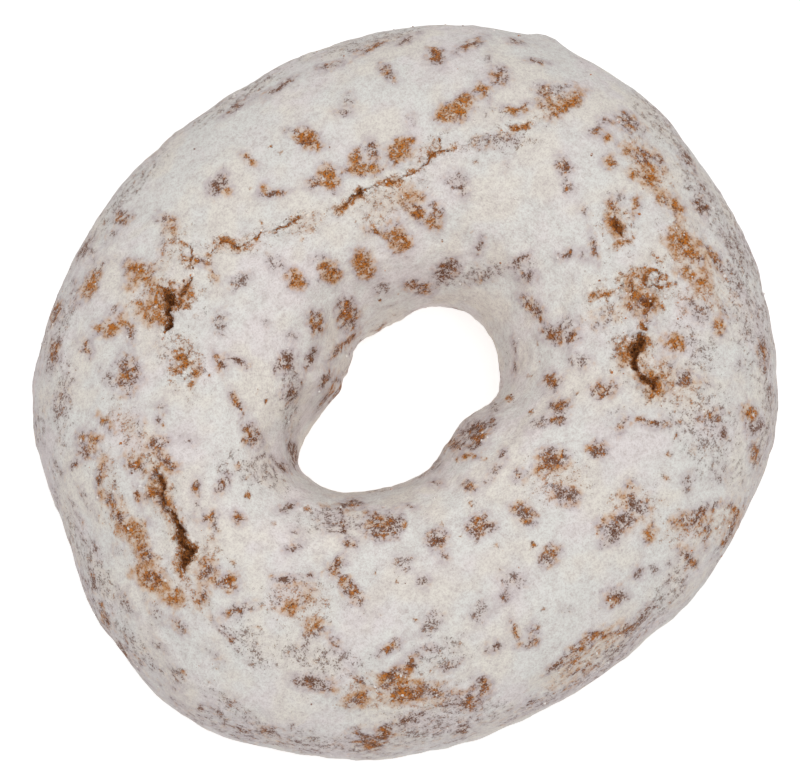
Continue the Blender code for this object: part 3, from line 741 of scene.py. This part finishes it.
def paintAll(place, normal):
    # the photo's marks, and the rule's where the photo sees the crust edge on or not at all
    masks = dict(zip(("bare", "warm", "halo"), paintMarks(place, normal)))
    hidden = 1 - smoothStep(normal @ np.array(cameraFrame()[2]), *hiddenPads["facing"])
    for name, values in zip(masks, paintUnseen(place, unseenPads())):
        masks[name] = np.maximum(masks[name], values * hidden)
    return masks


# How the sugar lies on slopes, with painted shade and painted light. Upward is 1 on the flat of the crown and
# 0 on an upright wall, and outward is 1 at the rim and -1 at the hole's neck. Most pairs are where a mask
# starts and where it is whole.
slopes = {
    "steepToFlat": (0.20, 0.92),
    "underToWall": (-0.15, 0.32),
    "underShare": 0.30,
    "outward": (0.5, 0.05),     # added, and the least
    "neck": (0.70, 0.98),
    "neckShare": 0.45,
    "shadedSideAt": 210.0,        # round the ring, where the sides have thin sugar and the most painted shade
    "shadedSideShare": 0.20,
    "innerOutward": (0.0, 0.60),
    "innerUpward": (0.10, 0.65),
}


def slopeMasks(theta, phi, upward):
    # the sides, where the sugar is thin and painted shade darkens it, and the slopes toward the hole, which
    # get painted light
    added, least = slopes["outward"]
    outward = np.clip(added + np.cos(phi), least, 1)
    outward += slopes["neckShare"] * smoothStep(-np.cos(phi), *slopes["neck"])
    under, swing = slopes["underShare"], slopes["shadedSideShare"]
    # thin sugar and painted shade on the steep sides, strongest at one place round the ring
    thinSideShade = 1 - smoothStep(upward, *slopes["steepToFlat"])
    thinSideShade *= under + (1 - under) * smoothStep(upward, *slopes["underToWall"])
    thinSideShade *= (1 - swing + swing * np.cos(theta - math.radians(slopes["shadedSideAt"]))) * outward
    # painted light: marks the slopes toward the hole, which lie in shade, to be brightened
    holeSlopeLight = smoothStep(-np.cos(phi), *slopes["innerOutward"]) * smoothStep(upward, *slopes["innerUpward"])
    return {"thinSideShade": thinSideShade, "holeSlopeLight": holeSlopeLight}


# Shares of the most grains and crumbs that lie on plain sugar, in flaking sugar and on brown marks
loose = {
    "clearance": (0.45, 0.9),   # from the faces of the solid's box
    "upward": 3,
    "outsideCracks": (0.02, 0.15),
    "patches": (3.0, 0.5, 1.4, 0.1),  # size, middle, swing and least
    "plainGrains": 0.22,
    "plainCrumbs": 0.05,
    "flakyCrumbs": 0.75,
    "brownCrumbs": 0.25,
}


def looseMasks(place, upward, masks):
    # where loose grains and crumbs may lie
    clearance = np.minimum(boxSize / 2 - np.abs(place - boxSize * (0, 0, 0.5)), 1).min(axis=1)
    room = smoothStep(clearance, *loose["clearance"])
    room *= np.clip(upward * loose["upward"], 0, 1)
    room *= 1 - smoothStep(masks["torn"], *loose["outsideCracks"])
    size, middle, swing, least = loose["patches"]
    patchy = np.clip(middle + swing * fieldOf(place, size, 2, 70.0), least, 1)
    flaky = masks["flaky"]
    grains = loose["plainGrains"] * patchy + flaky
    crumbs = loose["plainCrumbs"] * patchy + loose["flakyCrumbs"] * flaky ** 2
    crumbs += loose["brownCrumbs"] * masks["bare"] * masks["warm"]
    return {"grainy": room * np.clip(grains, 0, 1), "crumby": room * np.clip(crumbs, 0, 1)}


def buildCrust():
    bpy.ops.mesh.primitive_torus_add(
        major_segments=mesh["ringSegments"],
        minor_segments=mesh["tubeSegments"],
        major_radius=mesh["torusRadius"],
        minor_radius=1.0,
    )
    crust = bpy.context.active_object
    crust.name = "doughnut_crust"
    shape = bmesh.new()
    shape.from_mesh(crust.data)
    corners = [[vert.index for vert in face.verts] for face in shape.faces]
    routes = planRoutes(BVHTree.FromPolygons(ringPoint(*torusAngles(shape)).tolist(), corners))
    refineTornCrust(shape, routes)
    theta, phi = torusAngles(shape)
    place, normal = ringPoint(theta, phi), ringNormal(theta, phi)
    upward = normal[:, 2]
    crown = np.clip(upward * 4, 0, 1)

    relief = doughRelief(place, crown)
    tornRelief, tornMasks = tornCrust(place, crown, routes)
    relief += tornRelief
    masks = paintAll(place, normal) | tornMasks
    addSugarRelief(relief, place, masks["halo"], masks["flaky"])
    place = place + normal * relief[:, None]
    middle = fitToSolid(place)
    for vert, point in zip(shape.verts, place * mm):
        vert.co = point
    shape.to_mesh(crust.data)
    shape.free()
    crust.data.shade_smooth()

    masks |= slopeMasks(theta, phi, upward)
    masks |= looseMasks(place, upward, masks)
    for name, values in masks.items():
        layer = crust.data.attributes.new(name, "FLOAT", "POINT")
        layer.data.foreach_set("value", values.astype(np.float32))
    return crust, middle


# Shader helpers
def addNode(tree, kind, values=None, **settings):
    node = tree.nodes.new(kind)
    for name, value in settings.items():
        setattr(node, name, value)
    for socket, value in (values or {}).items():
        if isinstance(value, bpy.types.NodeSocket):
            tree.links.new(value, node.inputs[socket])
        else:
            node.inputs[socket].default_value = value
    return node


def calculate(tree, operation, first, second=0.0, clamp=False):
    values = {0: first, 1: second}
    return addNode(tree, "ShaderNodeMath", values, operation=operation, use_clamp=clamp).outputs[0]


def plus(tree, first, second):
    return calculate(tree, "ADD", first, second)


def minus(tree, first, second):
    return calculate(tree, "SUBTRACT", first, second)


def times(tree, first, second):
    return calculate(tree, "MULTIPLY", first, second)


def most(tree, first, *others):
    for other in others:
        first = calculate(tree, "MAXIMUM", first, other)
    return first


def scaled(tree, vector, factor):
    values = {0: vector, "Scale": factor}
    return addNode(tree, "ShaderNodeVectorMath", values, operation="SCALE").outputs[0]


def ramp(tree, value, start, end, low=0.0, high=1.0):
    values = {"Value": value, "From Min": start, "From Max": end, "To Min": low, "To Max": high}
    return addNode(tree, "ShaderNodeMapRange", values, interpolation_type="SMOOTHSTEP").outputs["Result"]


def blendColours(tree, share, first, second):
    node = addNode(tree, "ShaderNodeMix", {0: share, 6: first, 7: second}, data_type="RGBA")
    return node.outputs[2]


def speckle(tree, place, size, detail=2.0, roughness=0.6):
    values = {"Vector": place, "Scale": 1 / size, "Detail": detail, "Roughness": roughness}
    return addNode(tree, "ShaderNodeTexNoise", values).outputs["Fac"]


def readMask(tree, name):
    return addNode(tree, "ShaderNodeAttribute", attribute_name=name).outputs["Fac"]


def millimetres(tree):
    return scaled(tree, addNode(tree, "ShaderNodeTexCoord").outputs["Object"], 1 / mm)


colours = {
    "pinkSugar": (0.87, 0.81, 0.805, 1),
    "greenSugar": (0.845, 0.84, 0.805, 1),
    "creamSugar": (0.885, 0.835, 0.755, 1),
    # dusty grey, and the grey of painted shade in the sugar's dips
    "dustAndShadeGrey": (0.60, 0.53, 0.51, 1),
    # thin sugar's colour, also used as painted shade on the sides
    "thinSugarAndShade": (0.56, 0.475, 0.488, 1),
    "warmThinSugar": (0.60, 0.320, 0.145, 1),
    "crust": (0.200, 0.098, 0.060, 1),
    "warmCrust": (0.56, 0.170, 0.012, 1),
    "darkCrust": (0.13, 0.036, 0.007, 1),
    "paleCrust": (0.62, 0.28, 0.095, 1),
    "grain": (0.84, 0.79, 0.765, 1),
    "crumb": (0.38, 0.125, 0.018, 1),
    # crumb in painted shade, for the deep of a crack
    "shadedCrumb": (0.100, 0.031, 0.004, 1),
}

# Noises, as size, detail and roughness, each with its ramp, as from, to, lowest and highest, and its weight
sugarLook = {
    "tint": ((7.0, 3.0), (0.34, 0.56)),
    "cream": ((6.0, 2.0), (0.45, 0.62, 0.0, 0.9)),
    # soft also darkens the powder where its bump dips: painted shade
    "soft": ((1.3, 3.0), (0.30, 0.58, 1.0, 0.0), 0.28),
    "grain": ((0.20, 2.0), (0.34, 0.58, 1.0, 0.0), 0.36),
    "clump": ((0.45, 3.0, 0.7), (0.32, 0.58, 1.0, 0.0), 0.38),
    "softHeight": 0.9,
    "grainHeight": 0.4,
}


def sugarGroup():
    # the powder's colour and grain, with painted shade in the dips of its soft bumps, for every piece that
    # has sugar on it
    group = bpy.data.node_groups.new("sugarPowder", "ShaderNodeTree")
    for name, way, kind in (
        ("Place", "INPUT", "Vector"),
        ("ThinAndShaded", "INPUT", "Float"),
        ("Warmth", "INPUT", "Float"),
        ("Colour", "OUTPUT", "Color"),
        ("Height", "OUTPUT", "Float"),
    ):
        group.interface.new_socket(name, in_out=way, socket_type="NodeSocket" + kind)
    given = addNode(group, "NodeGroupInput").outputs
    noises = {}
    shares = {}
    for name in ("tint", "cream", "soft", "grain", "clump"):
        sizes, span, *weight = sugarLook[name]
        noises[name] = speckle(group, given["Place"], *sizes)
        shares[name] = ramp(group, noises[name], *span)
        if weight:
            shares[name] = times(group, shares[name], weight[0])
    clean = blendColours(group, shares["tint"], colours["pinkSugar"], colours["greenSugar"])
    clean = blendColours(group, shares["cream"], clean, colours["creamSugar"])
    uneven = plus(group, shares["grain"], shares["clump"])
    # painted shade in the soft dips, and dusty tone from grain and clump, darken the powder toward grey
    shadeAndDust = calculate(group, "ADD", shares["soft"], uneven, clamp=True)
    under = blendColours(group, given["Warmth"], colours["thinSugarAndShade"], colours["warmThinSugar"])
    powder = blendColours(group, shadeAndDust, clean, colours["dustAndShadeGrey"])
    # thin sugar, and painted shade on the sides, blend the powder toward the colour under it
    powder = blendColours(group, given["ThinAndShaded"], powder, under)
    soft = times(group, noises["soft"], sugarLook["softHeight"])
    height = plus(group, soft, times(group, noises["grain"], sugarLook["grainHeight"]))
    addNode(group, "NodeGroupOutput", {"Colour": powder, "Height": height})
    return group


def makeMaterial(name, roughness):
    material = bpy.data.materials.new(name)
    material.use_nodes = True
    shader = material.node_tree.nodes["Principled BSDF"]
    shader.inputs["Roughness"].default_value = roughness
    return material, material.node_tree, shader


def dress(tree, shader, colour, height, strength, depth):
    # gives the shader its colour and its bumps
    tree.links.new(colour, shader.inputs["Base Color"])
    bump = addNode(tree, "ShaderNodeBump", {"Strength": strength, "Distance": depth * mm, "Height": height})
    tree.links.new(bump.outputs[0], shader.inputs["Normal"])


# Noises, as size, detail and roughness, and ramps, as from, to, lowest and highest
crustNoise = {
    "fine": (0.20, 3.0, 0.65),
    "dots": (0.27, 2.0),
    "ragged": (0.30, 3.0, 0.7),
    "light": (0.40, 2.0),
    "blob": (0.75, 2.0),
    "warm": (0.9, 2.0),
    "broken": (1.7, 2.0),
    "wide": (2.2, 2.0),
    "patchy": (4.5, 2.0),
}
crustRamps = {
    "raggedEdge": (0.34, 0.66, 0.15, 1.60),     # how wide a crack is, in its own widths
    "wideCrack": (0.08, 0.32),
    "besideCrack": (0.0, 1.2, 0.95, 0.0),
    "edgePatches": (0.36, 0.56, 0.35, 1.0),
    "crumbly": (0.38, 0.60, 0.0, 0.90),
    "streaks": (0.46, 0.58, 0.0, 0.92),
    "streakPatches": (0.38, 0.58, 0.30, 1.0),
    "cover": (-0.04, 0.055),
    "weak": (0.30, 0.90, 0.60, 1.0),
    "orange": (0.49, 0.91),
    "darkDots": (0.50, 0.59, 0.0, 0.90),
    "paleDots": (0.52, 0.66, 0.0, 0.34),
    "haze": (0.36, 0.60, 0.60, 1.0),
    "washed": (0.05, 0.95),
    "washPatches": (0.32, 0.60, 0.45, 1.0),
    "brownSugar": (0.30, 0.95, 0.0, 0.26),
    "line": (-0.06, 0.05, 1.0, 0.0),
    "brokenLine": (0.36, 0.46),
    "crumbShade": (0.0, 0.65),
    "deepest": (0.35, 0.55),
}

crustLook = {
    "streakFlattening": (1, 1, 4),
    "streak": (1.2, 3.0),
    "crumblyWarmth": 1.3,
    "fineShare": 0.60,
    "blobShare": 0.40,
    "leastNoise": (0.70, 0.22),     # noise that shows crust where nothing is bare, and how far it falls
    "barePower": 0.65,
    "warmthShare": 0.42,
    "tint": 1.1,
    "thinAndShadedShare": 0.80,
    # painted light on the slopes toward the hole
    "holeSlopePaintedLight": 0.095,
    "tornShade": 0.6,
    "dotDepth": 2.4,
    "sunk": -0.5,                   # how deep the crust lies under the sugar, in shares of the bump
    "bump": (0.8, 0.20),
}


def crustMaterial(powder):
    material, tree, shader = makeMaterial("powdered_crust", roughness=0.9)
    place = millimetres(tree)
    noises = {name: speckle(tree, place, *values) for name, values in crustNoise.items()}
    fine, blob, dots = noises["fine"], noises["blob"], noises["dots"]
    bare, warm, halo, torn, flaky, thinSideShade, holeSlopeLight, crackGap, crackWidth = (
        readMask(tree, name)
        for name in ("bare", "warm", "halo", "torn", "flaky", "thinSideShade", "holeSlopeLight", "crackGap", "crackWidth")
    )

    def span(value, name):
        return ramp(tree, value, *crustRamps[name])

    # how far each place is outside the dark of a crack, with the crack's edge made ragged
    outside = minus(tree, crackGap, times(tree, crackWidth, span(noises["ragged"], "raggedEdge")))
    wideCrack = span(crackWidth, "wideCrack")

    # speckles of crust: the barer the place, the more of the noise shows
    edge = times(tree, span(outside, "besideCrack"), wideCrack)
    edge = times(tree, edge, span(noises["wide"], "edgePatches"))
    crumbly = times(tree, flaky, span(noises["wide"], "crumbly"))
    squash = {0: place, 1: crustLook["streakFlattening"]}
    flat = addNode(tree, "ShaderNodeVectorMath", squash, operation="MULTIPLY").outputs[0]
    streaky = times(tree, thinSideShade, span(speckle(tree, flat, *crustLook["streak"]), "streaks"))
    streaky = times(tree, streaky, span(noises["patchy"], "streakPatches"))
    shown = most(tree, bare, streaky, edge, crumbly)
    warmth = most(tree, warm, plus(tree, edge, times(tree, crumbly, crustLook["crumblyWarmth"])))
    mixed = plus(tree, times(tree, fine, crustLook["fineShare"]), times(tree, blob, crustLook["blobShare"]))
    whole, less = crustLook["leastNoise"]
    barer = calculate(tree, "POWER", shown, crustLook["barePower"])
    limit = minus(tree, whole, times(tree, barer, less))
    crustShare = times(tree, span(minus(tree, mixed, limit), "cover"), span(shown, "weak"))

    # colour of the crust, from grey brown to orange, with dark and pale dots
    orange = span(plus(tree, times(tree, warmth, crustLook["warmthShare"]), noises["warm"]), "orange")
    crust = blendColours(tree, orange, colours["crust"], colours["warmCrust"])
    crust = blendColours(tree, span(dots, "darkDots"), crust, colours["darkCrust"])
    pale = times(tree, span(noises["light"], "paleDots"), orange)
    crust = blendColours(tree, pale, crust, colours["paleCrust"])

    # the sugar over it, thinner round the marks, and thinner and darker on the sides, which is partly painted
    # shade
    thinAndShadedSugar = most(tree, halo, times(tree, thinSideShade, span(noises["patchy"], "haze")))
    tinted = times(tree, times(tree, shown, shown), crustLook["tint"])
    washed = most(tree, times(tree, thinAndShadedSugar, crustLook["thinAndShadedShare"]), tinted)
    sugar = addNode(tree, "ShaderNodeGroup", {
        "Place": place,
        "ThinAndShaded": times(tree, span(washed, "washed"), span(blob, "washPatches")),
        "Warmth": most(tree, orange, span(bare, "brownSugar")),
    }, node_tree=powder)
    # painted light: the sugar is brightened on the slopes toward the hole, where shade falls
    holeSlopeLightFactor = plus(tree, 1.0, times(tree, holeSlopeLight, crustLook["holeSlopePaintedLight"]))
    covered = blendColours(tree, crustShare, scaled(tree, sugar.outputs["Colour"], holeSlopeLightFactor), crust)

    # the crumb inside a crack, with painted shade that grows where the crack is deeper
    line = times(tree, span(outside, "line"), most(tree, span(noises["broken"], "brokenLine"), wideCrack))
    rough = times(tree, minus(tree, dots, 0.5), crustLook["dotDepth"])
    # painted shade: the crumb darkens where the crack is deeper
    depth = plus(tree, times(tree, torn, crustLook["tornShade"]), rough)
    inside = blendColours(tree, span(depth, "crumbShade"), colours["crumb"], colours["shadedCrumb"])
    opened = most(tree, line, span(plus(tree, torn, minus(tree, fine, 0.5)), "deepest"))
    colour = blendColours(tree, opened, covered, inside)
    lowered = times(tree, most(tree, crustShare, opened), crustLook["sunk"])
    dress(tree, shader, colour, plus(tree, sugar.outputs["Height"], lowered), *crustLook["bump"])
    return material


# Loose sugar and crumbs that lie half sunk in the powder
sugarGrains = {
    "Most per square metre": 520000.0,
    "Smallest": 0.06 * mm,
    "Largest": 0.20 * mm,
    "Unevenness": 0.10 * mm,
    "Seed": 3,
}
crustCrumbs = {
    "Most per square metre": 300000.0,
    "Smallest": 0.05 * mm,
    "Largest": 0.20 * mm,
    "Unevenness": 0.10 * mm,
    "Seed": 11,
}


lumpShape = {
    "power": 3.0,               # how much small lumps outnumber large ones
    "slimmest": (0.7, 0.7, 0.6),
    "fattest": (1.35, 1.2, 1.0),
    "unevenSize": 0.30 * mm,
}


def scatterTree(name, where, material):
    # lumps scattered over a surface, as many as its attribute says
    tree = bpy.data.node_groups.new(name, "GeometryNodeTree")
    labels = ("Most per square metre", "Smallest", "Largest", "Unevenness")
    kinds = [("Geometry", "Geometry"), *((label, "Float") for label in labels), ("Seed", "Int")]
    for label, kind in kinds:
        tree.interface.new_socket(label, in_out="INPUT", socket_type="NodeSocket" + kind)
    tree.interface.new_socket("Geometry", in_out="OUTPUT", socket_type="NodeSocketGeometry")
    given = addNode(tree, "NodeGroupInput").outputs

    def chance(kind, output, later=0, limits=()):
        seed = plus(tree, given["Seed"], later) if later else given["Seed"]
        values = {**dict(enumerate(limits)), "Seed": seed}
        return addNode(tree, "FunctionNodeRandomValue", values, data_type=kind).outputs[output]

    mask = addNode(tree, "GeometryNodeInputNamedAttribute", {"Name": where}, data_type="FLOAT")
    share = mask.outputs["Attribute"]
    points = addNode(tree, "GeometryNodeDistributePointsOnFaces", {
        "Mesh": given["Geometry"],
        "Density": times(tree, share, given["Most per square metre"]),
        "Seed": given["Seed"],
    }).outputs["Points"]
    lump = addNode(tree, "GeometryNodeMeshIcoSphere", {"Radius": 1.0, "Subdivisions": 2}).outputs["Mesh"]
    lump = addNode(tree, "GeometryNodeSetShadeSmooth", {"Geometry": lump}).outputs[0]
    growth = calculate(tree, "POWER", chance("FLOAT", 1), lumpShape["power"])
    extra = minus(tree, given["Largest"], given["Smallest"])
    size = plus(tree, given["Smallest"], times(tree, extra, growth))
    stretch = chance("FLOAT_VECTOR", 0, later=1, limits=(lumpShape["slimmest"], lumpShape["fattest"]))
    lumps = addNode(tree, "GeometryNodeInstanceOnPoints", {
        "Points": points,
        "Instance": lump,
        "Rotation": chance("FLOAT_VECTOR", 0, later=2, limits=((0, 0, 0), (math.tau,) * 3)),
        "Scale": scaled(tree, stretch, size),
    }).outputs["Instances"]
    realized = addNode(tree, "GeometryNodeRealizeInstances", {"Geometry": lumps}).outputs[0]
    noiseScale = {"Scale": 1 / lumpShape["unevenSize"], "Detail": 1.0}
    unevenness = addNode(tree, "ShaderNodeTexNoise", noiseScale).outputs["Color"]
    middle = {0: unevenness, 1: (0.5, 0.5, 0.5)}
    centred = addNode(tree, "ShaderNodeVectorMath", middle, operation="SUBTRACT").outputs[0]
    offset = scaled(tree, centred, given["Unevenness"])
    uneven = addNode(tree, "GeometryNodeSetPosition", {"Geometry": realized, "Offset": offset}).outputs[0]
    finished = addNode(tree, "GeometryNodeSetMaterial", {"Geometry": uneven, "Material": material}).outputs[0]
    addNode(tree, "NodeGroupOutput", {"Geometry": finished})
    return tree


def scatter(name, crust, where, settings, material):
    piece = bpy.data.objects.new(name, crust.data.copy())
    bpy.context.scene.collection.objects.link(piece)
    modifier = piece.modifiers.new("scatter", "NODES")
    modifier.node_group = scatterTree(name + "_scatter", where, material)
    for socket in modifier.node_group.interface.items_tree:
        if socket.in_out == "INPUT" and socket.name in settings:
            modifier[socket.identifier] = settings[socket.name]
    made = bpy.data.meshes.new_from_object(piece.evaluated_get(bpy.context.evaluated_depsgraph_get()))
    piece.modifiers.clear()
    piece.data = made
    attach(piece, "root")
    print(name + ":", sum(len(face.vertices) - 2 for face in made.polygons), "triangles")


def grainMaterial(powder):
    material, tree, shader = makeMaterial("sugar_grain", roughness=0.85)
    values = {"Place": millimetres(tree), "ThinAndShaded": 0.0, "Warmth": 0.0}
    sugar = addNode(tree, "ShaderNodeGroup", values, node_tree=powder)
    ownColour = 0.6
    colour = blendColours(tree, ownColour, sugar.outputs["Colour"], colours["grain"])
    dress(tree, shader, colour, sugar.outputs["Height"], strength=0.5, depth=0.05)
    return material


crumbLayers = (                 # colour, its noise and the noise's ramp
    ("warmCrust", (0.9, 2.0), (0.38, 0.60)),
    ("darkCrust", (0.12, 2.0), (0.52, 0.68, 0.0, 0.7)),
    ("pinkSugar", (0.25, 2.0), (0.48, 0.62, 0.0, 0.75)),
)


def crumbMaterial():
    material, tree, shader = makeMaterial("crust_crumb", roughness=0.8)
    place = millimetres(tree)
    colour = colours["crust"]
    noises = {}
    for over, sizes, span in crumbLayers:
        noises[over] = speckle(tree, place, *sizes)
        colour = blendColours(tree, ramp(tree, noises[over], *span), colour, colours[over])
    dress(tree, shader, colour, noises["darkCrust"], strength=0.6, depth=0.06)
    return material


# The studio, in metres and watts
studio = {
    "floorSize": 3.0,
    "floorColour": (0.80, 0.80, 0.80, 1),
    "floorGlow": 0.48,
    "worldGlow": 0.19,
    "white": (1, 1, 1, 1),
    "lamps": (                  # name, place, size, power, tint
        ("skyPanel", (0.02, -0.05, 0.80), 0.9, 5.90, (1.0, 1.0, 0.99)),
        ("leftPanel", (-0.40, 0.45, 0.40), 0.5, 0.15, (1.0, 0.90, 0.94)),
    ),
}


def buildStage():
    bpy.ops.mesh.primitive_plane_add(size=studio["floorSize"])
    floor = bpy.context.active_object
    floor.name = "floor"
    material, _, shader = makeMaterial("paleFloor", roughness=0.9)
    shader.inputs["Base Color"].default_value = studio["floorColour"]
    shader.inputs["Emission Color"].default_value = studio["white"]
    shader.inputs["Emission Strength"].default_value = studio["floorGlow"]
    floor.data.materials.append(material)
    for name, place, size, power, tint in studio["lamps"]:
        light = bpy.data.lights.new(name, "AREA")
        light.size = size
        light.energy = power
        light.color = tint
        lamp = bpy.data.objects.new(name, light)
        lamp.location = place
        lamp.rotation_euler = (-Vector(place)).to_track_quat("-Z", "Y").to_euler()
        bpy.context.scene.collection.objects.link(lamp)
    world = bpy.data.worlds.new("studio")
    bpy.context.scene.world = world
    world.use_nodes = True
    background = world.node_tree.nodes["Background"].inputs
    background["Color"].default_value = studio["white"]
    background["Strength"].default_value = studio["worldGlow"]
    bpy.context.scene.view_settings.view_transform = "Standard"


def placeCamera(middle):
    right, up, back = cameraFrame()
    lens = bpy.data.cameras.new("photoCamera")
    frameWidth = photoView["frameWidth"] * photoView["mmPerPixel"]
    lens.lens = lens.sensor_width * photoView["distance"] / frameWidth
    camera = bpy.data.objects.new("photoCamera", lens)
    camera.location = (cameraPlace() - middle) * mm
    camera.rotation_euler = back.to_track_quat("Z", "Y").to_euler()
    bpy.context.scene.collection.objects.link(camera)
    bpy.context.scene.camera = camera


crust, middle = buildCrust()
print("crust:", len(crust.data.polygons), "triangles")
powder = sugarGroup()
scatter("sugar_grains", crust, "grainy", sugarGrains, grainMaterial(powder))
scatter("crust_crumbs", crust, "crumby", crustCrumbs, crumbMaterial())
crust.data.materials.append(crustMaterial(powder))
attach(crust, "root")
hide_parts("doughnut")
buildStage()
placeCamera(middle)
